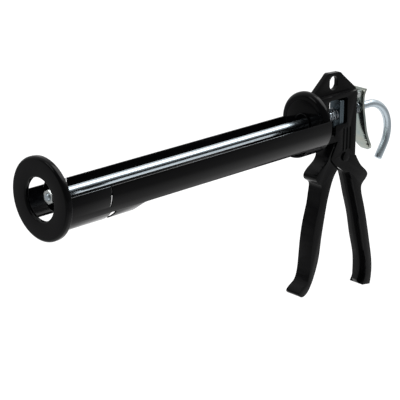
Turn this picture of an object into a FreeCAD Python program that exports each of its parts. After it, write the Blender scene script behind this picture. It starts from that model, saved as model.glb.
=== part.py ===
import FreeCAD, Part
import Sketcher
import math
import os

# Caulking gun with a half-round cradle that turns on the handle's barrel sleeve.
# Frame: +X runs from the front disc to the handle along the push rod, +Z is up, and the
# origin is the centre of the nozzle hole in the front disc's outer face.
# Handle pieces are drawn with X counted from the rear disc's face and then moved back by
# the distance between the two discs (cell disc_gap).

Vector = FreeCAD.Vector
doc = FreeCAD.newDocument("caulking_gun")

# ---------------------------------------------------------------- driving dimensions (mm)
DIMENSIONS = [
    ("disc_gap", 286.0),            # front disc face to rear disc face
    ("cradle_bore", 26.6),          # inner radius of the half-round cradle
    ("cradle_sheet", 1.2),          # cradle sheet thickness
    ("cradle_past", 6.0),           # cradle length behind the rear disc's face
    ("rim_rise", 5.5),              # degrees that each rim stands above the axis
    ("rest_turn", -7.0),            # degrees the cradle is turned about the rod at rest
    ("disc_sheet", 1.5),            # sheet thickness of both discs
    ("front_disc_edge", 33.0),      # outer radius of the front disc
    ("front_disc_rim", 5.5),        # depth of its turned rim
    ("nozzle_hole", 17.0),          # radius of the nozzle hole
    ("hole_collar", 4.0),           # depth of the collar turned back round it
    ("rear_disc_rim", 6.0),         # depth of the rear disc's rim
    ("bottom_half", 20.0),          # half width of the openings in the cradle's bottom
    ("lobe_half", 7.0),             # near edge of the openings that leave a lobe standing
    ("notch_at", 50.7),             # start of the narrow notch
    ("notch_long", 6.0),
    ("window_start", 79.5),         # start of the long window
    ("window_rest", 14.0),          # sheet left between the long window and the rear disc
    ("slot_wide", 1.4),             # upright side slots near the front
    ("slot_at", 47.0),
    ("slot_low", -14.0),            # height at which both side slots end
    ("slot_half", 15.0),            # half height of the cutters that open the side slots
    ("rod_radius", 3.5),
    ("rod_stud", 2.9),              # radius of the threaded front end
    ("rod_front", 18.0),            # where the full bar begins
    ("rod_clear", 3.8),             # radius of every hole that the rod passes
    ("hook_bend", 27.5),            # bend radius of the hooked tail
    ("hook_turn", 123.0),           # degrees the tail is bent down
    ("hook_end", 14.0),             # straight length after the bend
    ("pusher_radius", 14.0),
    ("pusher_sheet", 2.0),
    ("pusher_at", 14.6),            # front face of the pusher plate
    ("pusher_washer", 1.4),
    ("sleeve_radius", 5.2),
    ("sleeve_flange", 8.5),         # radius of the flange that stops the rear disc
    ("sleeve_ahead", 1.8),          # flange front, ahead of the rear disc's face
    ("sleeve_long", 20.3),
    ("running_gap", 0.05),          # radial gap of parts that turn on each other
    ("frame_wide", 15.5),           # width of the handle casting across the flats
    ("hanger_wide", 4.5),           # thickness of the plate with the hanging eye
    ("web_wide", 5.0),              # thickness of the grip's web
    ("cavity_wide", 12.4),          # inner width of the head round the drive plates
    ("arm_slot", 9.4),              # slot in the head that the trigger's arm moves in
    ("arm_wide", 8.8),
    ("pin_radius", 2.5),            # trigger pivot pin
    ("lever_pin", 1.5),             # radius of the release lever's pin
    ("trigger_pivot_x", 47.0),
    ("trigger_pivot_z", -39.0),
    ("lever_pivot_x", 63.8),
    ("lever_pivot_z", 14.0),
    ("plate_thick", 2.5),
    ("plate_wide", 12.0),
    ("plate_tall", 26.0),
    ("plate_low", -13.0),           # bottom edge of the drive plates
    ("lever_wide", 16.0),
    ("ears_wide", 12.4),
    ("ear_gap", 8.2),               # the casting's lug fits between the ears
    ("groove_wide", 2.6),           # upright grooves on the cheeks
    ("groove_low", -31.5),
    ("groove_high", -13.5),
    ("groove_cut", 1.2),            # half of this is below the cheek's surface
]
SIZE = dict(DIMENSIONS)
sheet = doc.addObject("Spreadsheet::Sheet", "Sheet")
for row, (alias, value) in enumerate(DIMENSIONS, start=1):
    sheet.set("A%d" % row, alias)
    sheet.set("B%d" % row, str(value))
    sheet.setAlias("B%d" % row, alias)
doc.recompute()

PIECES = []


# ---------------------------------------------------------------- helpers
def bind(thing, **cells):
    """Bind properties to sheet expressions; two underscores stand for a dot."""
    for name, formula in cells.items():
        thing.setExpression(name.replace("__", "."), formula)
    return thing


def keep(thing, label, **placing):
    """Name a finished sub-part and list it for export."""
    thing.Label = label
    bind(thing, **placing)
    PIECES.append(thing)
    return thing


def rod_disc(name, radius, start, length):
    """A cylinder lying along X, from start for length, all three as expressions."""
    part = doc.addObject("Part::Cylinder", name)
    part.Placement = FreeCAD.Placement(Vector(0, 0, 0), FreeCAD.Rotation(Vector(0, 1, 0), 90))
    return bind(part, Radius=radius, Height=length, Placement__Base__x=start)


def block(name, low, high):
    """A box between two corners, given as numbers or sheet expressions."""
    part = doc.addObject("Part::Box", name)
    for axis, size, start, end in zip("xyz", ("Length", "Width", "Height"), low, high):
        part.setExpression(size, "(%s) - (%s)" % (end, start))
        part.setExpression("Placement.Base." + axis, str(start))
    return part


def cut(name, base, tool):
    result = doc.addObject("Part::Cut", name)
    result.Base = base
    result.Tool = tool
    return result


def fuse(name, shapes):
    result = doc.addObject("Part::MultiFuse", name)
    result.Shapes = shapes
    return result


def round_edges(name, base, radius, chosen):
    """Fillet the edges of base that the test chosen picks."""
    doc.recompute()
    result = doc.addObject("Part::Fillet", name)
    result.Base = base
    picked = [n for n, edge in enumerate(base.Shape.Edges, start=1) if chosen(edge)]
    result.Edges = [(n, radius, radius) for n in picked]
    return result


def circle_at(edge, radius, x=None):
    """True for a full circle of this radius about the X axis, at x if given."""
    curve = edge.Curve
    if not isinstance(curve, Part.Circle) or abs(curve.Radius - radius) > 0.01:
        return False
    return x is None or abs(curve.Center.x - x) < 0.01


def body_plane(body, role):
    return [part for part in body.Origin.OriginFeatures if part.Role == role][0]


def sketch_in(body, role, name, offset=0.0):
    sketch = body.newObject("Sketcher::SketchObject", name)
    sketch.AttachmentSupport = [(body_plane(body, role), "")]
    sketch.MapMode = "FlatFace"
    sketch.AttachmentOffset = FreeCAD.Placement(Vector(0, 0, offset), FreeCAD.Rotation())
    return sketch


def outline(sketch, start, steps):
    """Close a chain of lines (a point), arcs (through, end) and smooth curves (a list)."""
    here = Vector(start[0], start[1], 0)
    first = here
    for step in steps:
        if isinstance(step, list):
            points = [here] + [Vector(p[0], p[1], 0) for p in step]
            curve = Part.BSplineCurve()
            curve.interpolate(points)
            here = points[-1]
        elif isinstance(step[0], tuple):
            through = Vector(step[0][0], step[0][1], 0)
            end = Vector(step[1][0], step[1][1], 0)
            curve = Part.Arc(here, through, end)
            here = end
        else:
            end = Vector(step[0], step[1], 0)
            curve = Part.LineSegment(here, end)
            here = end
        sketch.addGeometry(curve, False)
    if here.distanceToPoint(first) > 1e-6:
        sketch.addGeometry(Part.LineSegment(here, first), False)
    return sketch


def ring(sketch, x, y, radius):
    """A circle whose radius and centre are constraints bound to sheet expressions."""
    centre = Vector(worth(x), worth(y), 0)
    number = sketch.addGeometry(Part.Circle(centre, Vector(0, 0, 1), worth(radius)), False)
    made = sketch.addConstraint(Sketcher.Constraint("Radius", number, worth(radius)))
    sketch.setExpression("Constraints[%d]" % made, radius)
    for kind, formula in (("DistanceX", x), ("DistanceY", y)):
        made = sketch.addConstraint(Sketcher.Constraint(kind, -1, 1, number, 3, worth(formula)))
        sketch.setExpression("Constraints[%d]" % made, formula)
    return sketch


def worth(formula):
    """The number that a sheet expression stands for."""
    return float(sheet.evalExpression(formula))


def pad(body, sketch, name, width):
    """Pad both ways from the sketch's plane."""
    made = body.newObject("PartDesign::Pad", name)
    made.Profile = sketch
    made.SideType = "Symmetric"
    return bind(made, Length=width)


def pocket(body, sketch, name, width):
    """Cut both ways from the sketch's plane."""
    made = body.newObject("PartDesign::Pocket", name)
    made.Profile = sketch
    made.SideType = "Symmetric"
    return bind(made, Length=width)


def new_body(name):
    return doc.addObject("PartDesign::Body", name)


# ---------------------------------------------------------------- cradle and its discs
def make_cradle():
    """Half-round sheet trough with raised rims, side slots and openings in its bottom."""
    outer = doc.addObject("Part::Cylinder", "cradle_outer")
    bind(outer, Radius="Sheet.cradle_bore + Sheet.cradle_sheet",
         Height="Sheet.disc_gap + Sheet.cradle_past - Sheet.disc_sheet",
         Angle="180 + 2 * Sheet.rim_rise")
    # The sector starts on the far rim and sweeps down under the axis to the near rim.
    lying = FreeCAD.Rotation(Vector(0, -1, 0), Vector(0, 0, -1), Vector(1, 0, 0), "ZXY")
    sweep = FreeCAD.Rotation(Vector(0, 0, 1), -SIZE["rim_rise"])
    outer.Placement = FreeCAD.Placement(Vector(0, 0, 0), lying.multiply(sweep))
    bind(outer, Placement__Base__x="Sheet.disc_sheet")
    cutters = [rod_disc("cradle_inner", "Sheet.cradle_bore", "0", "Sheet.disc_gap + 20")]
    for name, start, end, near in (
            ("front_opening", "6", "36", "-Sheet.lobe_half"),
            ("notch", "Sheet.notch_at", "Sheet.notch_at + Sheet.notch_long", "-Sheet.bottom_half"),
            ("notch_link", "Sheet.notch_at", "Sheet.window_start + 10.5", "-Sheet.lobe_half")):
        cutters.append(block(name, (start, near, -30.0), (end, "Sheet.bottom_half", -10.0)))
    window = block("window_block", ("Sheet.window_start", "-Sheet.bottom_half", -30.0),
                   ("Sheet.disc_gap - Sheet.window_rest", "Sheet.bottom_half", -10.0))
    cutters.append(round_edges("long_window", window, 8.0,
                               lambda edge: edge.BoundBox.ZLength > 15))
    for side, start in (("near", -30.0), ("far", 10.0)):
        slot = doc.addObject("Part::Box", "slot_" + side)
        slot.Placement.Base.y = start
        bind(slot, Length="Sheet.slot_wide", Width="20", Height="2 * Sheet.slot_half",
             Placement__Base__x="Sheet.slot_at", Placement__Base__z="Sheet.slot_low")
        cutters.append(slot)
    shell = cut("cradle_cut", outer, fuse("cradle_cuts", cutters))
    shell.Placement = FreeCAD.Placement(Vector(0, 0, 0), TURN)
    keep(shell, "cradle_shell")


def make_disc(label, edge, rim, face, hole, corner, collar=None):
    """Pressed disc with its rim turned back along +X, and a collar round its hole if given."""
    outer = rod_disc(label + "_outer", edge, face, rim)
    inner = rod_disc(label + "_hollow", edge + " - Sheet.disc_sheet",
                     face + " + Sheet.disc_sheet", rim)
    centre = rod_disc(label + "_hole", hole, face + " - 1", "Sheet.disc_sheet + 2")
    radius = worth(edge)
    start = worth(face)
    outer = round_edges(label + "_corner", outer, corner,
                        lambda edge: circle_at(edge, radius, start))
    inside = corner - SIZE["disc_sheet"]
    inner = round_edges(label + "_inside", inner, inside,
                        lambda edge: circle_at(edge, radius - SIZE["disc_sheet"],
                                               start + SIZE["disc_sheet"]))
    disc = cut(label + "_cut", outer, fuse(label + "_cuts", [inner, centre]))
    if collar:
        ring_outer = rod_disc(label + "_collar", hole + " + Sheet.disc_sheet", face, collar)
        ring_hole = rod_disc(label + "_collar_hole", hole, face + " - 1", collar + " + 2")
        disc = fuse(label + "_whole", [disc, cut(label + "_ring", ring_outer, ring_hole)])
    disc.Placement = FreeCAD.Placement(Vector(0, 0, 0), TURN)
    keep(disc, label)


# ---------------------------------------------------------------- barrel joint
def make_barrel_joint():
    """Flanged sleeve that the rear disc turns on, its washer and the nut that holds it."""
    front = "Sheet.disc_gap - Sheet.sleeve_ahead"
    flange = rod_disc("sleeve_flange_disc", "Sheet.sleeve_flange", front, "1.6")
    tube = rod_disc("sleeve_tube", "Sheet.sleeve_radius", front, "Sheet.sleeve_long")
    passage = rod_disc("sleeve_bore", "Sheet.rod_clear", "Sheet.disc_gap - 5", "30")
    flange = round_edges("sleeve_edge", flange, 0.6,
                         lambda edge: circle_at(edge, SIZE["sleeve_flange"], worth(front)))
    keep(cut("sleeve_cut", fuse("sleeve_solid", [flange, tube]), passage), "barrel_sleeve")
    make_washer("swivel_washer", "Sheet.disc_gap + 1.7", "1.0", "12", "Sheet.sleeve_radius + 0.1")
    make_nut("barrel_lock_nut", "Sheet.disc_gap + 14", "4.5", 11.6,
             "Sheet.sleeve_radius + Sheet.running_gap")
    make_washer("spring_washer", "Sheet.disc_gap + 18.6", "0.9", "5.8", "Sheet.rod_clear + 0.2")


def make_washer(label, start, thick, radius, hole):
    outer = rod_disc(label + "_outer", radius, start, thick)
    inner = rod_disc(label + "_hole", hole, start + " - 1", thick + " + 2")
    keep(cut(label + "_cut", outer, inner), label)


def make_nut(label, start, thick, flats, hole):
    """Hexagon nut along X with its corners chamfered by a coaxial cone on each side."""
    hexagon = doc.addObject("Part::Prism", label + "_hexagon")
    hexagon.Polygon = 6
    hexagon.Placement = FreeCAD.Placement(Vector(0, 0, 0), ALONG_X)
    corner = flats / math.sqrt(3)
    bind(hexagon, Circumradius=str(corner), Height=thick, Placement__Base__x=start)
    turned = rod_disc(label + "_turned", str(corner - 0.05), start, thick)
    turned = round_edges(label + "_round", turned, flats * 0.06,
                         lambda edge: circle_at(edge, corner - 0.05))
    both = doc.addObject("Part::Common", label + "_shape")
    both.Base = hexagon
    both.Tool = turned
    inner = rod_disc(label + "_hole", hole, start + " - 1", thick + " + 2")
    keep(cut(label + "_cut", both, inner), label)


# ---------------------------------------------------------------- push rod
def make_rod():
    """Round rod with a threaded front stud and a hooked tail bent down behind the frame."""
    start = worth("Sheet.disc_gap + 85")
    bend = SIZE["hook_bend"]
    angle = math.radians(SIZE["hook_turn"])
    straight = rod_disc("rod_straight", "Sheet.rod_radius", "Sheet.rod_front",
                        "Sheet.disc_gap + 85 - Sheet.rod_front")
    stud = rod_disc("rod_stud_part", "Sheet.rod_stud", "7", "12")
    stud = round_edges("rod_stud_tip", stud, 0.6, lambda edge: circle_at(edge, SIZE["rod_stud"], 7))
    hook = doc.addObject("Part::Torus", "rod_hook")
    bind(hook, Radius1="Sheet.hook_bend", Radius2="Sheet.rod_radius", Angle3="Sheet.hook_turn")
    across = FreeCAD.Rotation(Vector(0, 0, 1), Vector(1, 0, 0), Vector(0, 1, 0), "ZXY")
    hook.Placement = FreeCAD.Placement(Vector(start, 0, -bend), across)
    tail = doc.addObject("Part::Cylinder", "rod_tail")
    bind(tail, Radius="Sheet.rod_radius", Height="Sheet.hook_end")
    heading = Vector(math.cos(angle), 0, -math.sin(angle))
    root = Vector(start + bend * math.sin(angle), 0, bend * math.cos(angle) - bend)
    aim = FreeCAD.Rotation(Vector(0, 0, 1), heading)
    tail.Placement = FreeCAD.Placement(root, aim)
    tip = root + heading * SIZE["hook_end"]
    tail = round_edges("rod_tail_round", tail, 1.0,
                       lambda edge: isinstance(edge.Curve, Part.Circle)
                       and edge.Curve.Center.distanceToPoint(tip) < 0.01)
    keep(fuse("rod_whole", [stud, straight, hook, tail]), "push_rod")


def make_pusher():
    """Plate on the rod's front stud, held between two washers by a nut."""
    plate = rod_disc("plate_outer", "Sheet.pusher_radius", "Sheet.pusher_at", "Sheet.pusher_sheet")
    plate = round_edges("plate_edge", plate, 0.7,
                        lambda edge: circle_at(edge, SIZE["pusher_radius"]))
    hole = rod_disc("plate_hole", "Sheet.rod_stud + Sheet.running_gap", "10", "10")
    keep(cut("plate_cut", plate, hole), "pusher_plate")
    stud_hole = "Sheet.rod_stud + Sheet.running_gap"
    make_washer("pusher_washer_rear", "Sheet.pusher_at + Sheet.pusher_sheet",
                "Sheet.pusher_washer", "7", stud_hole)
    make_washer("pusher_washer_front", "Sheet.pusher_at - Sheet.pusher_washer",
                "Sheet.pusher_washer", "6.5", stud_hole)
    make_nut("pusher_nut", "8.4", "4.8", 10.0, stud_hole)


# ---------------------------------------------------------------- handle casting
def make_frame():
    """Die-cast head, column and grip in one piece, drawn from the rear disc's face."""
    body = new_body("frame_body")
    head = sketch_in(body, "XZ_Plane", "head_outline")
    outline(head, (8, 19), [
        (60.3, 19), (60.3, -40), (62, -44), (61, -56), (48, -54), (39, -47.5),
        ((33.5, -43.5), (28.5, -37.5)), (37, -23), (8, -23)])
    pad(body, head, "head", "Sheet.frame_wide")
    hanger = sketch_in(body, "XZ_Plane", "hanger_outline")
    outline(hanger, (9, 10), [
        (9, 22), (25.5, 36), ((28, 38), (31, 38.2)), (41, 37.6), ((44, 37), (46, 35.2)),
        (64.6, 19.6), (64.6, 17.5), (58, 10)])
    pad(body, hanger, "hanger_plate", "Sheet.hanger_wide")
    web = sketch_in(body, "XZ_Plane", "web_outline")
    outline(web, (47, -50), [
        [(51, -60), (56, -77), (62.3, -97), (67.5, -120), (72.8, -140), (73.6, -150),
         (73.2, -164.5)],
        (76.5, -169.3), (86, -171), (80, -140), (66, -80), (60, -44)])
    pad(body, web, "grip_web", "Sheet.web_wide")
    flange = sketch_in(body, "XZ_Plane", "flange_outline")
    outline(flange, (58, -40), [
        (61.5, -40.8), [(64.5, -46), (69.5, -52.5), (76, -58.5), (78, -62.2), (76, -65.6),
                      (70.5, -71), (70.3, -76), (72.5, -84), (77, -99), (81.5, -117),
                      (85.6, -135), (88.3, -150), (88.4, -162), (86.8, -171)],
        (76.5, -169.3), [(80.6, -160), (80.5, -148), (76, -128), (69, -101), (64, -84),
                       (60.5, -72), (57, -60), (54, -52)]])
    pad(body, flange, "grip_flange", "Sheet.frame_wide")
    lug = sketch_in(body, "XZ_Plane", "lug_outline")
    outline(lug, (59, 17.3), [(63.8, 17.3), ((67.1, 14), (63.8, 10.7)), (59, 8)])
    pad(body, lug, "lever_lug", "7.6")
    doc.recompute()
    boss = sketch_in(body, "YZ_Plane", "boss_outline", 2.9)
    ring(boss, "0", "0", "12")
    made = body.newObject("PartDesign::Pad", "barrel_boss")
    made.Profile = boss
    bind(made, Length="6")
    window = sketch_in(body, "XZ_Plane", "window_outline")
    outline(window, (17, 15.5), [
        (45, 15.5), ((47.1, 14.6), (48, 12.5)), (48, -14.5), (14, -14.5),
        (14, 12.5), ((14.9, 14.6), (17, 15.5))])
    pocket(body, window, "mechanism_cavity", "Sheet.cavity_wide")
    opening = sketch_in(body, "XZ_Plane", "cheek_outline")
    outline(opening, (26.4, 15.5), [
        (45.5, 15.5), ((47.3, 14.8), (48, 13)), (48, -6.5), ((47.4, -7.9), (46, -8.5)),
        (33.5, -8.5), (33.5, -16), ((31, -18), (28.5, -16)), (26.5, -10), (24.4, -2),
        (24.4, 13.5), ((25, 14.9), (26.4, 15.5))])
    pocket(body, opening, "cheek_opening", "40")
    slot = sketch_in(body, "XZ_Plane", "slot_outline")
    outline(slot, (24, -7), [(55, -7), (55, -42), (52, -47.5), (46.5, -54.5), (24, -54.5)])
    pocket(body, slot, "trigger_slot", "Sheet.arm_slot")
    eye = sketch_in(body, "XZ_Plane", "eye_outline")
    outline(eye, (30.2, 31), [((35.5, 35.2), (40.8, 31)), (40.8, 27), ((35.5, 22.4), (30.2, 27))])
    pocket(body, eye, "hanger_eye", "20")
    pins = sketch_in(body, "XZ_Plane", "pin_holes")
    ring(pins, "Sheet.trigger_pivot_x", "Sheet.trigger_pivot_z",
         "Sheet.pin_radius + Sheet.running_gap")
    ring(pins, "Sheet.lever_pivot_x", "Sheet.lever_pivot_z", "Sheet.lever_pin + 0.02")
    pocket(body, pins, "pin_bores", "40")
    for name, place, radius, length in (
            ("sleeve_bore_cut", 0.0, "Sheet.sleeve_radius + Sheet.running_gap", "20"),
            ("rod_bore_cut", 40.0, "Sheet.rod_clear", "28")):
        hole = sketch_in(body, "YZ_Plane", name + "_sketch", place)
        ring(hole, "0", "0", radius)
        made = body.newObject("PartDesign::Pocket", name)
        made.Profile = hole
        made.Reversed = True
        bind(made, Length=length)
    # Three upright grooves on each cheek, with round ends.
    low, high, wide = SIZE["groove_low"], SIZE["groove_high"], SIZE["groove_wide"]
    for side, place in (("near", 0.5), ("far", -0.5)):
        grooves = sketch_in(body, "XZ_Plane", "grooves_" + side)
        grooves.setExpression("AttachmentOffset.Base.z", "Sheet.frame_wide * %g" % place)
        for left in (42.4, 46.6, 50.8):
            outline(grooves, (left, low), [
                (left, high), ((left + wide / 2, high + wide / 2), (left + wide, high)),
                (left + wide, low), ((left + wide / 2, low - wide / 2), (left, low))])
        pocket(body, grooves, "groove_cut_" + side, "Sheet.groove_cut")
    keep(body, "handle_frame", Placement__Base__x="Sheet.disc_gap")


# ---------------------------------------------------------------- trigger
def make_trigger():
    """Cast trigger: wide finger bar with a guard on top and a narrow arm in the frame."""
    body = new_body("trigger_body")
    bar = sketch_in(body, "XZ_Plane", "bar_outline")
    outline(bar, (31.5, -26), [
        (25.5, -35), [(18, -43.5), (12, -47.8), (10, -51.5), (11.5, -54.8), (16.6, -58.8),
                      (16.6, -67), (14.9, -77), (11.9, -87.5), (9.2, -98), (7.0, -112),
                      (5.5, -128), (4.0, -139), (0.4, -147), (-6.3, -151.3), (-9, -154.6),
                      (-6, -157.8), (0, -157), (6, -150.5), (12, -138), (16, -125),
                      (18.4, -109), (21.5, -93), (24.8, -77), (28.4, -65), (33, -54.5),
                      (37.5, -49)],
        ((32.4, -44.8), (27.4, -38.4)), ((28.9, -32.6), (32.6, -27.0))])
    pad(body, bar, "finger_bar", "Sheet.frame_wide")
    arm = sketch_in(body, "XZ_Plane", "arm_outline")
    outline(arm, (27, -42), [
        (26.8, -36), (32, -27.8), [(39, -26.2), (44.3, -22), (46.3, -14.5)],
        ((46.9, -11.2), (49.6, -9.6)), ((52.4, -10.6), (53.5, -13.5)), (53.5, -30),
        ((54.5, -39), (50.5, -45.6)), [(44, -47.5), (38.5, -50.5), (33.5, -56)], (28, -58)])
    pad(body, arm, "drive_arm", "Sheet.arm_wide")
    pivot = sketch_in(body, "XZ_Plane", "pivot_hole")
    ring(pivot, "Sheet.trigger_pivot_x", "Sheet.trigger_pivot_z",
         "Sheet.pin_radius + Sheet.running_gap")
    pocket(body, pivot, "pivot_bore", "40")
    keep(body, "trigger", Placement__Base__x="Sheet.disc_gap")


def cross_pin(name, radius, x, z, start, length):
    """A cylinder along Y, placed from the rear disc's face."""
    part = doc.addObject("Part::Cylinder", name)
    part.Placement = FreeCAD.Placement(Vector(0, 0, 0), FreeCAD.Rotation(Vector(1, 0, 0), -90))
    return bind(part, Radius=radius, Height=length, Placement__Base__x="Sheet.disc_gap + " + x,
                Placement__Base__y=start, Placement__Base__z=z)


def make_pins():
    """Trigger pivot pin with its clip, and the release lever's pin."""
    x, z = "Sheet.trigger_pivot_x", "Sheet.trigger_pivot_z"
    shank = cross_pin("pin_shank", "Sheet.pin_radius", x, z, "-9", "19")
    head = cross_pin("pin_head", "4", x, z, "-9.2", "1.4")
    keep(fuse("pin_whole", [shank, head]), "trigger_pivot_pin")
    clip = cross_pin("clip_outer", "4.4", x, z, "7.85", "1")
    hole = cross_pin("clip_hole", "Sheet.pin_radius + Sheet.running_gap", x, z, "7", "3")
    keep(cut("clip_cut", clip, hole), "pivot_pin_clip")
    x, z = "Sheet.lever_pivot_x", "Sheet.lever_pivot_z"
    shank = cross_pin("lever_pin_shank", "Sheet.lever_pin", x, z, "-7", "14")
    near = cross_pin("lever_pin_head", "2.4", x, z, "-7.2", "0.8")
    far = cross_pin("lever_pin_rivet", "2.4", x, z, "6.4", "0.8")
    keep(fuse("lever_pin_whole", [shank, near, far]), "release_lever_pin")


# ---------------------------------------------------------------- drive plates and lever
def make_drive_plates():
    """Two gripping plates on the rod, ahead of the trigger's arm."""
    for label, start in (("drive_plate_front", 40.3), ("drive_plate_rear", 43.1)):
        plate = block(label + "_block",
                      ("Sheet.disc_gap + %g" % start, "-Sheet.plate_wide / 2", "Sheet.plate_low"),
                      ("Sheet.disc_gap + %g + Sheet.plate_thick" % start,
                       "Sheet.plate_wide / 2", "Sheet.plate_low + Sheet.plate_tall"))
        plate = round_edges(label + "_corners", plate, 2.0,
                            lambda edge: edge.BoundBox.XLength > 2
                            and edge.BoundBox.YLength < 0.1 and edge.BoundBox.ZLength < 0.1)
        hole = rod_disc(label + "_hole", "Sheet.rod_clear", "Sheet.disc_gap + 30", "30")
        keep(cut(label + "_cut", plate, hole), label)


def make_lever():
    """Bent release lever with two ears on the pin and a slotted hole for the rod."""
    body = new_body("lever_body")
    blade = sketch_in(body, "XZ_Plane", "blade_outline")
    outline(blade, (70.9, 17.6), [
        [(68.3, 12), (68.0, 6), (68.9, -2), (70.5, -10), (73.3, -23), (76.9, -32), (81.7, -40.6)],
        ((83.3, -41.2), (83.9, -39.6)),
        [(79.1, -31.2), (75.5, -22.5), (72.7, -9.6), (71.1, -1.6), (70.2, 6.2), (70.5, 11.6),
         (72.9, 16.8)],
        ((72.3, 18.0), (70.9, 17.6))])
    pad(body, blade, "blade", "Sheet.lever_wide")
    ears = sketch_in(body, "XZ_Plane", "ear_outline")
    outline(ears, (63.8, 17), [((60.8, 14), (63.8, 11)), (68.7, 4), (70.5, 4.5), (70.3, 12),
                               (70.8, 17)])
    pad(body, ears, "ears", "Sheet.ears_wide")
    gap = sketch_in(body, "XZ_Plane", "gap_outline")
    outline(gap, (59, 20), [(69.7, 20), (68.4, 14.5), (67.9, 10), (67.9, 2), (59, 2)])
    pocket(body, gap, "gap_between_ears", "Sheet.ear_gap")
    pin = sketch_in(body, "XZ_Plane", "ear_holes")
    ring(pin, "Sheet.lever_pivot_x", "Sheet.lever_pivot_z", "Sheet.lever_pin + Sheet.running_gap")
    pocket(body, pin, "ear_bores", "40")
    hole = sketch_in(body, "YZ_Plane", "rod_slot", 70.3)
    outline(hole, (-3.9, 1.0), [((0, 4.9), (3.9, 1.0)), (3.9, -0.3), ((0, -4.2), (-3.9, -0.3))])
    pocket(body, hole, "rod_slot_cut", "20")
    blade_end = sketch_in(body, "YZ_Plane", "blade_corners", 81.0)
    half = SIZE["lever_wide"] / 2
    for side in (-1, 1):
        outline(blade_end, (side * (half + 1), -44), [
            (side * (half + 1), -34), (side * half, -34),
            ((side * (half - 2.2), -39.6), (side * (half - 7.5), -41.8)), (side * 0.3, -44)])
    pocket(body, blade_end, "round_end", "20")
    keep(body, "release_lever", Placement__Base__x="Sheet.disc_gap")


def make_spring(label, start, length, radius, wire, turns):
    """Coil spring along X: one round wire swept along a helix."""
    helix = doc.addObject("Part::Helix", label + "_helix")
    pitch = length / turns
    bind(helix, Pitch=str(pitch), Height=str(length), Radius=str(radius))
    section = doc.addObject("Part::Circle", label + "_wire")
    section.Radius = wire
    section.Placement = FreeCAD.Placement(Vector(radius, 0, 0),
                                          FreeCAD.Rotation(Vector(1, 0, 0), 90))
    coil = doc.addObject("Part::Sweep", label + "_sweep")
    coil.Sections = [section]
    coil.Spine = helix
    coil.Solid = True
    coil.Frenet = True
    coil.Placement = FreeCAD.Placement(Vector(0, 0, 0), ALONG_X)
    keep(coil, label, Placement__Base__x="Sheet.disc_gap + %g" % start)


# ---------------------------------------------------------------- build, check, export
ALONG_X = FreeCAD.Rotation(Vector(0, 1, 0), 90)
TURN = FreeCAD.Rotation(Vector(1, 0, 0), SIZE["rest_turn"])

make_cradle()
make_disc("front_disc", "Sheet.front_disc_edge", "Sheet.front_disc_rim", "0",
          "Sheet.nozzle_hole", 2.2, "Sheet.hole_collar")
make_disc("rear_disc", "Sheet.cradle_bore - Sheet.running_gap", "Sheet.rear_disc_rim",
          "Sheet.disc_gap", "Sheet.sleeve_radius + Sheet.running_gap", 4.5)
make_barrel_joint()
make_rod()
make_pusher()
make_frame()
make_trigger()
make_pins()
make_drive_plates()
make_lever()
make_spring("drive_spring", 20.2, 19.4, 5.0, 0.6, 6.0)
make_spring("brake_spring", 61.0, 6.2, 5.0, 0.5, 3.0)
doc.recompute()

for thing in doc.Objects:
    trouble = [state for state in thing.State if state in ("Invalid", "Error")]
    if trouble:
        raise RuntimeError("%s did not build: %s" % (thing.Name, trouble))
for piece in PIECES:
    if piece.Shape.isNull() or not piece.Shape.isValid():
        raise RuntimeError("%s has no valid shape" % piece.Label)

os.makedirs("parts", exist_ok=True)
for piece in PIECES:
    piece.Shape.exportStep("parts/%s.step" % piece.Label)
    box = piece.Shape.BoundBox
    print("%-20s %d solid(s) %9.1f mm3  X %.1f..%.1f  Y %.1f..%.1f  Z %.1f..%.1f" % (
        piece.Label, len(piece.Shape.Solids), piece.Shape.Volume,
        box.XMin, box.XMax, box.YMin, box.YMax, box.ZMin, box.ZMax))
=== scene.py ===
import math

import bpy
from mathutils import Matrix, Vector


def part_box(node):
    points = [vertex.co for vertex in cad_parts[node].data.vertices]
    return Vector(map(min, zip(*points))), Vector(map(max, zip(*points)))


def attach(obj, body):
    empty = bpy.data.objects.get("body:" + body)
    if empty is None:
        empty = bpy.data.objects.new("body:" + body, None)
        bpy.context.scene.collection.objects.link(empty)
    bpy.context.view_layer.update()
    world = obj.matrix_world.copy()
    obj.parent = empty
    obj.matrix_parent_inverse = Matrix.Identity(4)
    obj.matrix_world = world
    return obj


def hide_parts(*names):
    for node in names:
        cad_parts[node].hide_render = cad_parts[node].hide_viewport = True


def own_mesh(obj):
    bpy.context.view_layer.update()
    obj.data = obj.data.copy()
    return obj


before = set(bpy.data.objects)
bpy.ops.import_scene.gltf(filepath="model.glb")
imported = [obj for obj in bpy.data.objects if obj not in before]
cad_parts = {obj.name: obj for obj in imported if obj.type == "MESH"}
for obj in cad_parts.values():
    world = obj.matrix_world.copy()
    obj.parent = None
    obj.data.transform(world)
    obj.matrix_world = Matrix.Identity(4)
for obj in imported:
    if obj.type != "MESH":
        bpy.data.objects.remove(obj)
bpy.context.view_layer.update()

# %% [markdown]
# # A caulking gun, piece by piece
#
# The engineering model is already loaded: every part of it sits in place, in metres.
# The cradle runs along X, up is Z, and the nozzle hole of the front disc is at the origin.
# In this lesson each pressed, cast, turned or coiled part gets the edges and
# finish that it has on the real tool.

MM = 0.001

# %% [markdown]
# ## Small helpers
#
# Blender's operators act on everything that is selected, so the first helper clears the
# selection. The others do what a modeller does all the time: add a modifier and apply it,
# select edges or faces by where they are, and trace a profile point by point.

# %% Selection and modifiers
def only(piece):
    """Leave edit mode, select this piece alone and make it active."""
    if bpy.context.object and bpy.context.object.mode == "EDIT":
        bpy.ops.object.mode_set(mode="OBJECT")
    bpy.ops.object.select_all(action="DESELECT")
    piece.select_set(True)
    bpy.context.view_layer.objects.active = piece
    return piece


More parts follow.
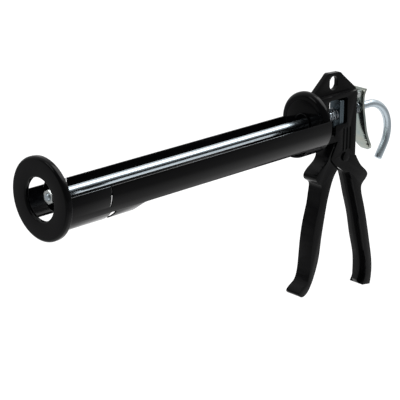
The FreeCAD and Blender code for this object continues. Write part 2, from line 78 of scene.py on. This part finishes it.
def apply_modifier(piece, kind, **settings):
    """Add a modifier to the piece, set it up and apply it."""
    only(piece)
    bpy.ops.object.modifier_add(type=kind)
    modifier = piece.modifiers[-1]
    for name, value in settings.items():
        setattr(modifier, name, value)
    bpy.ops.object.modifier_apply(modifier=modifier.name)


def pick(piece, kind, test):
    """Select the vertices, edges or faces whose middle, in mm, passes the test."""
    only(piece)
    bpy.ops.object.mode_set(mode="EDIT")
    bpy.ops.mesh.select_mode(type=kind)
    bpy.ops.mesh.select_all(action="DESELECT")
    bpy.ops.object.mode_set(mode="OBJECT")
    mesh = piece.data
    if kind == "FACE":
        for face in mesh.polygons:
            face.select = bool(test(face.center / MM, face.normal))
    elif kind == "EDGE":
        for edge in mesh.edges:
            ends = [mesh.vertices[v].co / MM for v in edge.vertices]
            edge.select = bool(test(*ends))
    else:
        for vertex in mesh.vertices:
            vertex.select = bool(test(vertex.co / MM))
    bpy.ops.object.mode_set(mode="EDIT")


# %% [markdown]
# Most parts start as a section drawn point by point, then pulled straight or turned on a
# lathe. Drawing the section first keeps every bend radius a number that can be changed.

# %% Tracing profiles
def trace(name, points, fill=False, close=True):
    """Join points (in mm) with edges by extruding one vertex along them, then close or fill."""
    bpy.ops.object.select_all(action="DESELECT")
    bpy.ops.mesh.primitive_plane_add(size=MM, location=Vector(points[0]) * MM)
    piece = bpy.context.object
    piece.name = piece.data.name = name
    bpy.ops.object.transform_apply(location=True, rotation=True, scale=True)
    bpy.ops.object.mode_set(mode="EDIT")
    bpy.ops.mesh.select_mode(type="VERT")
    bpy.ops.mesh.select_all(action="SELECT")
    bpy.ops.mesh.merge(type="CENTER")
    for here, there in zip(points, points[1:]):
        step = (Vector(there) - Vector(here)) * MM
        bpy.ops.mesh.extrude_region_move(TRANSFORM_OT_translate={"value": step})
    bpy.ops.object.mode_set(mode="OBJECT")
    last = len(points) - 1
    for vertex in piece.data.vertices:
        vertex.select = fill or vertex.index in (0, last)
    bpy.ops.object.mode_set(mode="EDIT")
    if close or fill:
        bpy.ops.mesh.edge_face_add()
    return piece


def pull(step):
    """Extrude everything in the piece being edited by a step in mm, and leave edit mode."""
    bpy.ops.mesh.select_all(action="SELECT")
    bpy.ops.mesh.extrude_region_move(TRANSFORM_OT_translate={"value": Vector(step) * MM})
    bpy.ops.mesh.select_all(action="SELECT")
    bpy.ops.mesh.normals_make_consistent(inside=False)
    bpy.ops.object.mode_set(mode="OBJECT")


def lathe(name, profile, axis=(1, 0, 0), centre=(0, 0, 0), steps=96):
    """Spin a closed profile of points (in mm) once round an axis, as on a lathe."""
    piece = trace(name, profile)
    bpy.ops.mesh.select_all(action="SELECT")
    bpy.ops.mesh.spin(steps=steps, angle=math.tau, axis=axis, center=Vector(centre) * MM)
    bpy.ops.mesh.select_all(action="SELECT")
    bpy.ops.mesh.remove_doubles(threshold=0.002 * MM)
    bpy.ops.mesh.normals_make_consistent(inside=False)
    bpy.ops.object.mode_set(mode="OBJECT")
    return piece


def corner(centre, radius, start, end, steps=5):
    """Points (x, 0, r) on a rounded corner of a lathe profile, angles in degrees."""
    points = []
    for step in range(steps + 1):
        angle = math.radians(start + (end - start) * step / steps)
        points.append((centre[0] + radius * math.cos(angle), 0,
                       centre[1] + radius * math.sin(angle)))
    return points


# %% [markdown]
# Every finished piece gets the same last touches: smooth shading that keeps its sharp
# edges, a material, the body it moves with, and the CAD parts it stands for hidden.

# %% Finishing a piece
def finish_piece(piece, stands_for, body, material, angle=32):
    """Smooth the piece, give it its material, and let it ride in the place of CAD nodes."""
    only(piece)
    bpy.ops.object.shade_smooth_by_angle(angle=math.radians(angle))
    piece.data.materials.clear()
    piece.data.materials.append(material)
    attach(piece, body)
    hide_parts(*stands_for)
    places = [v.co for v in piece.data.vertices]
    off = 0.0
    for node in stands_for:
        for axis in range(3):
            low, high = (end[axis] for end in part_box(node))
            off = max(off, abs(low - min(p[axis] for p in places)),
                      abs(high - max(p[axis] for p in places)))
    print("%-24s %6d faces, %.2f mm off the model's box" % (
        piece.name, len(piece.data.polygons), off / MM))
    return piece


# %% [markdown]
# ## Finishes
#
# The tool has two families of finish. Everything black is paint: smooth baked enamel on
# the pressed cradle, and a slightly coarser coat on the die-cast handle and trigger.
# Everything bright is zinc-plated steel. Colours are written as sRGB hex values, and one
# function turns them to the linear values that Blender computes with. Patterns use Object
# coordinates in millimetres, so their scale can be read as a real size.

# %% Material helpers
def linear(hex_colour, alpha=1.0):
    """An sRGB hex colour as linear RGBA."""
    parts = [int(hex_colour[n:n + 2], 16) / 255 for n in (1, 3, 5)]
    return tuple(p / 12.92 if p <= 0.04045 else ((p + 0.055) / 1.055) ** 2.4
                 for p in parts) + (alpha,)


def add(material, kind, values=None, links=None, **settings):
    """Add one node: its settings, its socket values, and what is linked into it."""
    made = material.node_tree.nodes.new(kind)
    for name, value in settings.items():
        setattr(made, name, value)
    for socket, value in (values or {}).items():
        made.inputs[socket].default_value = value
    for socket, source in (links or {}).items():
        material.node_tree.links.new(source, made.inputs[socket])
    return made


def start_material(name, **shader_values):
    """A material with an empty tree, its shader, and Object coordinates in millimetres."""
    material = bpy.data.materials.new(name)
    material.use_nodes = True
    material.node_tree.nodes.clear()
    values = {key.replace("_", " "): value for key, value in shader_values.items()}
    shader = add(material, "ShaderNodeBsdfPrincipled", values)
    add(material, "ShaderNodeOutputMaterial", links={"Surface": shader.outputs[0]})
    place = add(material, "ShaderNodeTexCoord")
    size = add(material, "ShaderNodeVectorMath", {1: (1000, 1000, 1000)},
               {0: place.outputs["Object"]}, operation="MULTIPLY")
    return material, shader, size.outputs[0]


# %% [markdown]
# **Baked gloss enamel on pressed steel.** Sprayed and stoved paint is nearly a mirror,
# but it dries with a faint orange-peel skin about 1.5 mm across, so highlights wobble
# slightly. Dust and handling leave cloudy patches of a little more roughness. Real paint
# mirrors more than the specular level set here: it is held low so that the pale table
# doesn't lift the blacks.

# %% Gloss enamel
PAINT_IOR, PAINT_SPECULAR = 1.5, 0.1


def painted(name, tone, worn_tone, gloss, peel_mm, peel_depth, grain_mm, grain_depth):
    """Black paint: peel and grain sizes in mm, depths as bump distances in mm."""
    material, shader, mm = start_material(
        name, Specular_IOR_Level=PAINT_SPECULAR, IOR=PAINT_IOR)
    links = material.node_tree.links
    patches = add(material, "ShaderNodeTexNoise", {"Scale": 1 / 14, "Detail": 4.0},
                  {"Vector": mm})
    mix = add(material, "ShaderNodeMix", {6: linear(tone), 7: linear(worn_tone)},
              {0: patches.outputs["Fac"]}, data_type="RGBA")
    links.new(mix.outputs[2], shader.inputs["Base Color"])
    rough = add(material, "ShaderNodeMapRange",
                {"From Min": 0.35, "From Max": 0.68, "To Min": gloss, "To Max": gloss + 0.06},
                {"Value": patches.outputs["Fac"]})
    links.new(rough.outputs[0], shader.inputs["Roughness"])
    peel = add(material, "ShaderNodeTexNoise", {"Scale": 1 / peel_mm, "Detail": 2.0},
               {"Vector": mm})
    grain = add(material, "ShaderNodeTexNoise", {"Scale": 1 / grain_mm, "Detail": 3.0},
                {"Vector": mm})
    soft = add(material, "ShaderNodeBump", {"Strength": 1.0, "Distance": peel_depth * MM},
               {"Height": peel.outputs["Fac"]})
    fine = add(material, "ShaderNodeBump", {"Strength": 1.0, "Distance": grain_depth * MM},
               {"Height": grain.outputs["Fac"], "Normal": soft.outputs[0]})
    links.new(fine.outputs[0], shader.inputs["Normal"])
    return material


ENAMEL = painted("stoved_black_enamel_on_steel", "#050506", "#08080a", gloss=0.11,
                 peel_mm=1.6, peel_depth=0.012, grain_mm=0.5, grain_depth=0.001)

# %% [markdown]
# **Paint on a die casting.** The zinc casting under the paint has flow ripples some 5 mm
# apart and a sandy skin, so this coat is a little rougher and its grain is deeper.

# %% Casting enamel
CASTING = painted("black_enamel_on_die_casting", "#060607", "#0a0a0b", gloss=0.2,
                  peel_mm=4.5, peel_depth=0.035, grain_mm=0.55, grain_depth=0.006)

# %% [markdown]
# **Bright zinc on drawn bar.** The rod is pulled through a die, which leaves fine lines
# along it, then plated. Zinc is a cool, slightly blue grey mirror. Stretching a noise
# pattern 40 times along the bar turns it into drawing lines.

# %% Bright metals
def plated(name, tone, tint, roughness, spread, stretch, line_mm, depth):
    """Bright steel: stretch is how long each mark is on each axis, in line widths."""
    material, shader, mm = start_material(name, Metallic=1.0)
    links = material.node_tree.links
    lay = add(material, "ShaderNodeVectorMath", {1: tuple(1 / s for s in stretch)}, {0: mm},
              operation="MULTIPLY")
    lines = add(material, "ShaderNodeTexNoise", {"Scale": 1 / line_mm, "Detail": 5.0},
                {"Vector": lay.outputs[0]})
    clouds = add(material, "ShaderNodeTexNoise", {"Scale": 1 / 9, "Detail": 2.0}, {"Vector": mm})
    mix = add(material, "ShaderNodeMix", {6: linear(tone), 7: linear(tint)},
              {0: clouds.outputs["Fac"]}, data_type="RGBA")
    links.new(mix.outputs[2], shader.inputs["Base Color"])
    rough = add(material, "ShaderNodeMapRange",
                {"From Min": 0.3, "From Max": 0.7, "To Min": roughness,
                 "To Max": roughness + spread},
                {"Value": lines.outputs["Fac"]})
    links.new(rough.outputs[0], shader.inputs["Roughness"])
    bump = add(material, "ShaderNodeBump", {"Strength": 1.0, "Distance": depth * MM},
               {"Height": lines.outputs["Fac"]})
    links.new(bump.outputs[0], shader.inputs["Normal"])
    return material


DRAWN_ROD = plated("bright_zinc_on_drawn_bar", "#b8c3ca", "#a9b5bd", roughness=0.2,
                   spread=0.12, stretch=(40, 1, 1), line_mm=0.35, depth=0.004)
HARDWARE = plated("zinc_plated_fasteners", "#cdd2d4", "#c2c6c2", roughness=0.24,
                  spread=0.14, stretch=(1, 1, 1), line_mm=0.3, depth=0.004)

# %% [markdown]
# **Passivated, hardened and spring steel.** The release lever is polished sheet. Its clear
# passivate film is thin enough to tint the mirror towards straw and sea-green in soft
# clouds. The drive plates are hardened and ground, so they are a darker blue-grey with fine
# lines across them. Spring wire is duller, with a grey oil-tempered skin. The line patterns
# are drawn about 0.3 mm apart, coarser than real ones, so that they show at all.

# %% Passivated lever and hardened plates
PASSIVATED = plated("clear_passivated_zinc_sheet", "#a5a294", "#788d91", roughness=0.12,
                    spread=0.05, stretch=(1, 1, 12), line_mm=0.4, depth=0.0008)
HARDENED = plated("hardened_steel_plate", "#68747b", "#525e66", roughness=0.2,
                  spread=0.2, stretch=(1, 14, 1), line_mm=0.25, depth=0.006)
SPRING = plated("oil_tempered_spring_wire", "#8d9296", "#7c8186", roughness=0.26,
                spread=0.14, stretch=(1, 1, 1), line_mm=0.25, depth=0.003)

# %% [markdown]
# ## The pressed discs
#
# Both discs are pressed from sheet, so every corner has a bend radius and the rim is
# turned back. A cylinder primitive would have square corners. A traced section spun once
# round the rod's axis, like turning it on a lathe, gives the true bends in one step.

# %% Front disc
TURN = math.radians(-7)


def turn_with_cradle(piece):
    """The cradle rests turned seven degrees on its axle, so what belongs to it turns too."""
    only(piece)
    bpy.ops.object.mode_set(mode="EDIT")
    bpy.ops.mesh.select_all(action="SELECT")
    bpy.ops.transform.rotate(value=-TURN, orient_axis="X", center_override=(0, 0, 0))
    bpy.ops.object.mode_set(mode="OBJECT")


front_edge, hole = 33.0, 17.0
front_disc = lathe("front_disc_pressed", (
    [(0.0, 0, hole + 1.3)]
    + corner((2.2, front_edge - 2.2), 2.2, 180, 90, 7)
    + corner((4.8, front_edge - 0.7), 0.7, 90, -90, 7)
    + corner((2.2, front_edge - 2.2), 0.8, 90, 180, 4)
    + [(1.5, 0, hole + 2.6)]
    + corner((2.6, hole + 2.6), 1.1, 180, 270, 4)[1:]
    + corner((3.3, hole + 0.75), 0.75, 90, -90, 6)
    + corner((1.3, hole + 1.3), 1.3, -90, -180, 5)[:-1]), steps=128)
finish_piece(front_disc, ["front_disc"], "cradle", ENAMEL)

# %% [markdown]
# The rear disc closes the cradle and turns on the handle's sleeve. It is drawn deeper,
# with a wide rounded shoulder, and its rim is welded inside the cradle's end.

# %% Rear disc
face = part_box("rear_disc")[0].x / MM
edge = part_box("rear_disc")[1].x / MM - face
rear_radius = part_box("rear_disc")[1].y / MM
axle = 5.25
rear_disc = lathe("rear_disc_pressed", (
    [(face, 0, axle), (face, 0, 19.4)]
    + corner((face + 0.7, 20.4), 0.7, 225, 150, 3)
    + corner((face + 4.5, rear_radius - 4.5), 4.5, 170, 90, 9)
    + [(face + edge, 0, rear_radius), (face + edge, 0, rear_radius - 1.4)]
    + corner((face + 4.5, rear_radius - 4.5), 3.1, 90, 180, 6)
    + [(face + 1.4, 0, axle)]), steps=128)
finish_piece(rear_disc, ["rear_disc"], "cradle", ENAMEL)

# %% [markdown]
# ## The cradle
#
# The trough that holds the cartridge is one sheet rolled into a half round, with raised
# rims, openings in its bottom and a narrow upright slot on each side. It is drawn here as the
# arc of its section, pulled along X, and given its sheet thickness with Solidify. The
# openings are punched with Boolean cutters, as a press would, and a small Bevel softens
# every cut edge so that it catches a thin line of light.

# %% Cradle sheet
start, end = (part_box("cradle_shell")[n].x / MM for n in (0, 1))
bore, rise, sheet = 26.6, 5.5, 1.2
arc = []
for step in range(97):
    angle = math.radians(180 - rise + (180 + 2 * rise) * step / 96)
    arc.append((start, bore * math.cos(angle), bore * math.sin(angle)))
cradle = trace("cradle_rolled_sheet", arc, close=False)
pull((end - start, 0, 0))
apply_modifier(cradle, "SOLIDIFY", thickness=sheet * MM, offset=1.0, use_even_offset=True)
lowest = min(v.co.z for v in cradle.data.vertices)
print("cradle sheet, lowest point in mm:", round(lowest / MM, 2))


# %% [markdown]
# The bottom of the sheet has a front opening, a notch and a long window, and a smaller
# opening joins the last two on the far side. Each cutter is an outline seen from above,
# pushed up through the sheet. The side slots are cut straight through both walls.

# %% Punching the openings
def punch(piece, outline, step):
    """Cut through the piece with an outline (mm) pushed along a step."""
    cutter = trace("cutter", outline, fill=True)
    pull(step)
    apply_modifier(piece, "BOOLEAN", object=cutter, operation="DIFFERENCE", solver="EXACT")
    bpy.data.objects.remove(cutter)


def rounded_box(low, high, radius):
    """A rectangle seen from above with rounded corners, as points in mm at z = -32."""
    points = []
    for (x, y), turn in zip(((high[0], high[1]), (low[0], high[1]), (low[0], low[1]),
                             (high[0], low[1])), (0, 90, 180, 270)):
        cx = x - radius if turn in (0, 270) else x + radius
        cy = y - radius if turn in (0, 90) else y + radius
        for step in range(7):
            angle = math.radians(turn + step * 15)
            points.append((cx + radius * math.cos(angle), cy + radius * math.sin(angle), -32))
    return points


for name, low, high, radius in (("front opening", (6, -7), (36, 20), 1.0),
                                ("notch", (50.7, -20), (56.7, 20), 1.0),
                                ("notch link", (50.7, -7), (90, 20), 1.0),
                                ("long window", (79.5, -20), (272, 20), 8.0)):
    punch(cradle, rounded_box(low, high, radius), (0, 0, 22))
    print(name, "punched,", round(high[0] - low[0], 1), "mm long")
slot_start, slot_end, slot_low, slot_top = 47.0, 48.4, -14, 14
for side in (-30, 10):
    punch(cradle, [(slot_start, side, slot_low), (slot_end, side, slot_low),
                   (slot_end, side, slot_top), (slot_start, side, slot_top)], (0, 20, 0))
turn_with_cradle(cradle)
apply_modifier(cradle, "BEVEL", width=0.35 * MM, segments=3, limit_method="ANGLE",
               angle_limit=math.radians(50), use_clamp_overlap=True)
finish_piece(cradle, ["cradle_shell"], "cradle", ENAMEL)

# %% [markdown]
# ## The push rod
#
# The rod is one drawn bar: straight through the whole tool, then bent round a former into
# the hook that the hand pulls. A circle is extruded along the straight, spun about the
# centre of the bend and extruded again for the tail.

# %% Push rod
tail_turn, bend = math.radians(123), 27.5
rod_start, bend_at = 18.0, 371.0
rod_radius, stud_radius, tail_straight = 3.5, 2.9, 13.0
bpy.ops.object.select_all(action="DESELECT")
bpy.ops.mesh.primitive_circle_add(vertices=40, radius=rod_radius * MM,
                                  location=(rod_start * MM, 0, 0),
                                  rotation=(0, math.pi / 2, 0))
rod = bpy.context.object
rod.name = rod.data.name = "push_rod_bar"
bpy.ops.object.transform_apply(location=True, rotation=True, scale=True)
bpy.ops.object.mode_set(mode="EDIT")
bpy.ops.mesh.select_all(action="SELECT")
begin = rod_start
for stop in (60, 150, 250, 340, bend_at):
    bpy.ops.mesh.extrude_region_move(TRANSFORM_OT_translate={"value": ((stop - begin) * MM, 0, 0)})
    begin = stop
bpy.ops.mesh.spin(steps=44, angle=-tail_turn, axis=(0, 1, 0), center=(bend_at * MM, 0, -bend * MM))
heading = Vector((math.cos(tail_turn), 0, -math.sin(tail_turn)))
bpy.ops.mesh.extrude_region_move(TRANSFORM_OT_translate={"value": heading * tail_straight * MM})
for step, size in ((0.6, 0.93), (0.4, 0.78)):
    bpy.ops.mesh.extrude_region_move(TRANSFORM_OT_translate={"value": heading * step * MM})
    bpy.ops.transform.resize(value=(size, size, size))
bpy.ops.mesh.edge_face_add()
pick(rod, "VERT", lambda p: p.x < rod_start + 0.01)
for shift, radius, was in ((0.0, stud_radius, rod_radius), (-10.4, stud_radius, stud_radius),
                           (-0.6, 2.3, stud_radius)):
    bpy.ops.mesh.extrude_region_move(TRANSFORM_OT_translate={"value": (shift * MM, 0, 0)})
    bpy.ops.transform.resize(value=(1, radius / was, radius / was))
bpy.ops.mesh.edge_face_add()
bpy.ops.mesh.select_all(action="SELECT")
bpy.ops.mesh.normals_make_consistent(inside=False)
bpy.ops.object.mode_set(mode="OBJECT")
finish_piece(rod, ["push_rod"], "rod", DRAWN_ROD, angle=40)

# %% [markdown]
# ## Castings and small parts
#
# The handle, the trigger and the fasteners already have the right shapes in the model, but
# with razor-sharp edges. A copy of each is merged into one clean skin and its edges are
# rounded: generously on the castings, whose moulds have no sharp corners, and finely on
# stamped and turned parts.


# %% Rounded copies
def rounded_copy(node, name, width, segments=3, angle=35):
    """A merged copy of a CAD node with its sharp edges rounded to a width in mm."""
    copy = bpy.data.objects.new(name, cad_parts[node].data.copy())
    copy.data.name = name
    bpy.context.scene.collection.objects.link(copy)
    only(copy)
    bpy.ops.object.mode_set(mode="EDIT")
    bpy.ops.mesh.select_all(action="SELECT")
    bpy.ops.mesh.remove_doubles(threshold=0.002 * MM)
    bpy.ops.mesh.dissolve_limited(angle_limit=math.radians(0.6))
    bpy.ops.object.mode_set(mode="OBJECT")
    apply_modifier(copy, "BEVEL", width=width * MM, segments=segments, limit_method="ANGLE",
                   angle_limit=math.radians(angle), use_clamp_overlap=True)
    return copy


SMALL = (
    ("barrel_sleeve", "frame", ENAMEL, 0.25), ("swivel_washer", "frame", HARDWARE, 0.15),
    ("barrel_lock_nut", "frame", HARDWARE, 0.25), ("spring_washer", "frame", HARDWARE, 0.15),
    ("trigger_pivot_pin", "frame", CASTING, 0.3), ("pivot_pin_clip", "frame", SPRING, 0.15),
    ("release_lever_pin", "frame", HARDWARE, 0.25), ("pusher_nut", "rod", HARDWARE, 0.25),
    ("pusher_washer_front", "rod", ENAMEL, 0.2), ("pusher_washer_rear", "rod", ENAMEL, 0.2),
    ("pusher_plate", "rod", ENAMEL, 0.2), ("drive_plate_front", "drive_plates", HARDENED, 0.3),
    ("drive_plate_rear", "drive_plates", HARDENED, 0.3),
    ("release_lever", "release_lever", PASSIVATED, 0.5),
    ("handle_frame", "frame", CASTING, 0.7), ("trigger", "trigger", CASTING, 0.9),
)
for node, body, material, width in SMALL:
    piece = rounded_copy(node, node + "_finished", width)
    finish_piece(piece, [node], body, material)

# %% [markdown]
# ## Springs
#
# A coil spring is one round wire wound along the rod. The Screw modifier winds a small
# circle exactly that way.


# %% Springs
def wind(name, node, coil, wire, turns):
    """Wind a wire circle along X between the ends of the CAD spring, sizes in mm."""
    low, high = (end.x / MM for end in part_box(node))
    start, length = low + wire, high - low - 2 * wire
    bpy.ops.object.select_all(action="DESELECT")
    bpy.ops.mesh.primitive_circle_add(vertices=14, radius=wire * MM,
                                      location=(start * MM, 0, -coil * MM),
                                      rotation=(math.pi / 2, 0, 0))
    spring = bpy.context.object
    spring.name = spring.data.name = name
    bpy.ops.object.transform_apply(location=True, rotation=True, scale=True)
    apply_modifier(spring, "SCREW", axis="X", angle=math.tau * turns, screw_offset=length * MM,
                   steps=int(28 * turns), render_steps=int(28 * turns), use_merge_vertices=False)
    only(spring)
    bpy.ops.object.mode_set(mode="EDIT")
    bpy.ops.mesh.select_mode(type="EDGE")
    bpy.ops.mesh.select_all(action="DESELECT")
    bpy.ops.mesh.select_non_manifold()
    bpy.ops.mesh.fill_holes(sides=20)
    bpy.ops.mesh.select_all(action="SELECT")
    bpy.ops.mesh.normals_make_consistent(inside=False)
    return finish_piece(spring, [node], "frame", SPRING, angle=60)


drive_spring = wind("drive_spring_coil", "drive_spring", 5.0, 0.6, 6)
brake_spring = wind("brake_spring_coil", "brake_spring", 5.0, 0.5, 3)

# %% [markdown]
# The plates press the drive spring forward and the lever presses the brake spring, each
# against a fixed front end, so on the tool the coils shorten along X as their joint moves.
# The shares listed below come from how far each joint travels, but here each coil only gets
# a mesh of its own and nothing makes it shorten. Left rigid, the coils would cut into those parts.

# %% Springs given meshes of their own
for spring, node, joint, shortest in ((drive_spring, "drive_spring", "trigger_squeeze", 0.42),
                                      (brake_spring, "brake_spring", "release_press", 0.6)):
    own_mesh(spring)
    print(spring.name, "shortens to", shortest, "of its length")

# %% [markdown]
# ## Table, light and camera
#
# The tool is shown over a plain pale table. Glossy black paint is lit by what it mirrors:
# the table glows brightest behind the tool and falls to pale grey in front of it, and
# the room does the same, so faces turned to the camera stay black while rims and
# undersides catch a line of light.

# %% Floor
FLOOR_Z = -0.32
LOOK = Vector((0.16427, 0.0, -0.04027))
EYE = Vector((-0.6814, -0.8891, 0.3952))
bpy.ops.object.select_all(action="DESELECT")
bpy.ops.mesh.primitive_plane_add(size=14, location=(0, 0, FLOOR_Z))
floor = bpy.context.object
floor.name = "studio_floor"
bpy.ops.object.transform_apply(location=True)
table = bpy.data.materials.new("pale_table")
table.use_nodes = True
table.node_tree.nodes.clear()
place = add(table, "ShaderNodeTexCoord")
away = (LOOK - EYE).xy.normalized()
middle = LOOK.xy + away * 1.25
centred = add(table, "ShaderNodeMapping", {"Location": (middle.x, middle.y, FLOOR_Z),
              "Rotation": (0, 0, math.atan2(away.y, away.x)), "Scale": (2.1, 0.72, 1.0)},
              {"Vector": place.outputs["Object"]}, vector_type="TEXTURE")
distance = add(table, "ShaderNodeVectorMath", links={0: centred.outputs[0]}, operation="LENGTH")
glow = add(table, "ShaderNodeMapRange", {"From Min": 0.75, "From Max": 1.2, "To Min": 0.98,
           "To Max": 0.36}, {"Value": distance.outputs["Value"]}, interpolation_type="SMOOTHSTEP")
shader = add(table, "ShaderNodeBsdfPrincipled",
             {"Base Color": linear("#6f6f6f"), "Roughness": 0.9,
              "Specular IOR Level": 0.1, "Emission Color": (1, 1, 1, 1)},
             {"Emission Strength": glow.outputs[0]})
add(table, "ShaderNodeOutputMaterial", links={"Surface": shader.outputs[0]})
floor.data.materials.append(table)

# %% [markdown]
# The room is a soft gradient without any picture: bright behind the tool, dimmer in front.

# %% World
world = bpy.data.worlds.new("studio_room")
bpy.context.scene.world = world
world.use_nodes = True
world.node_tree.nodes.clear()
direction = add(world, "ShaderNodeTexCoord")
behind = add(world, "ShaderNodeVectorMath", {1: (away.x, away.y, 0.35)},
             {0: direction.outputs["Generated"]}, operation="DOT_PRODUCT")
shade = add(world, "ShaderNodeMapRange", {"From Min": -0.1, "From Max": 0.45, "To Min": 0.24,
            "To Max": 0.95}, {"Value": behind.outputs["Value"]}, interpolation_type="SMOOTHSTEP")
room = add(world, "ShaderNodeBackground", {"Color": (1, 1, 1, 1)}, {"Strength": shade.outputs[0]})
add(world, "ShaderNodeOutputWorld", links={"Surface": room.outputs[0]})
bpy.context.scene.view_settings.view_transform = "Standard"


# %% [markdown]
# Two area lights stand in for softboxes. A large one over the handle draws the highlights,
# and a small weak one on the left opens the shadows.

# %% Lights
def softbox(name, place, aim, size, power):
    """A square area light aimed at a point, sizes in metres."""
    bpy.ops.object.select_all(action="DESELECT")
    bpy.ops.object.light_add(type="AREA", location=place)
    lamp = bpy.context.object
    lamp.name = lamp.data.name = name
    lamp.data.size = size
    lamp.data.energy = power
    lamp.rotation_euler = (Vector(aim) - Vector(place)).to_track_quat("-Z", "Y").to_euler()
    return lamp


softbox("softbox_over_handle", (1.05, -0.25, 1.15), (0.2, 0, 0), 1.1, 14)
softbox("softbox_left", (-1.1, 0.5, 1.2), (0.1, 0, 0), 0.7, 4)

# %% [markdown]
# A long lens from a little above and in front shows the barrel with mild perspective.

# %% Camera
bpy.ops.object.camera_add(location=EYE)
camera = bpy.context.object
camera.name = "camera"
camera.rotation_euler = (LOOK - EYE).to_track_quat("-Z", "Y").to_euler()
camera.data.lens = 144
camera.data.sensor_width = 36
camera.data.clip_start = 0.01
camera.data.clip_end = 30
bpy.context.scene.camera = camera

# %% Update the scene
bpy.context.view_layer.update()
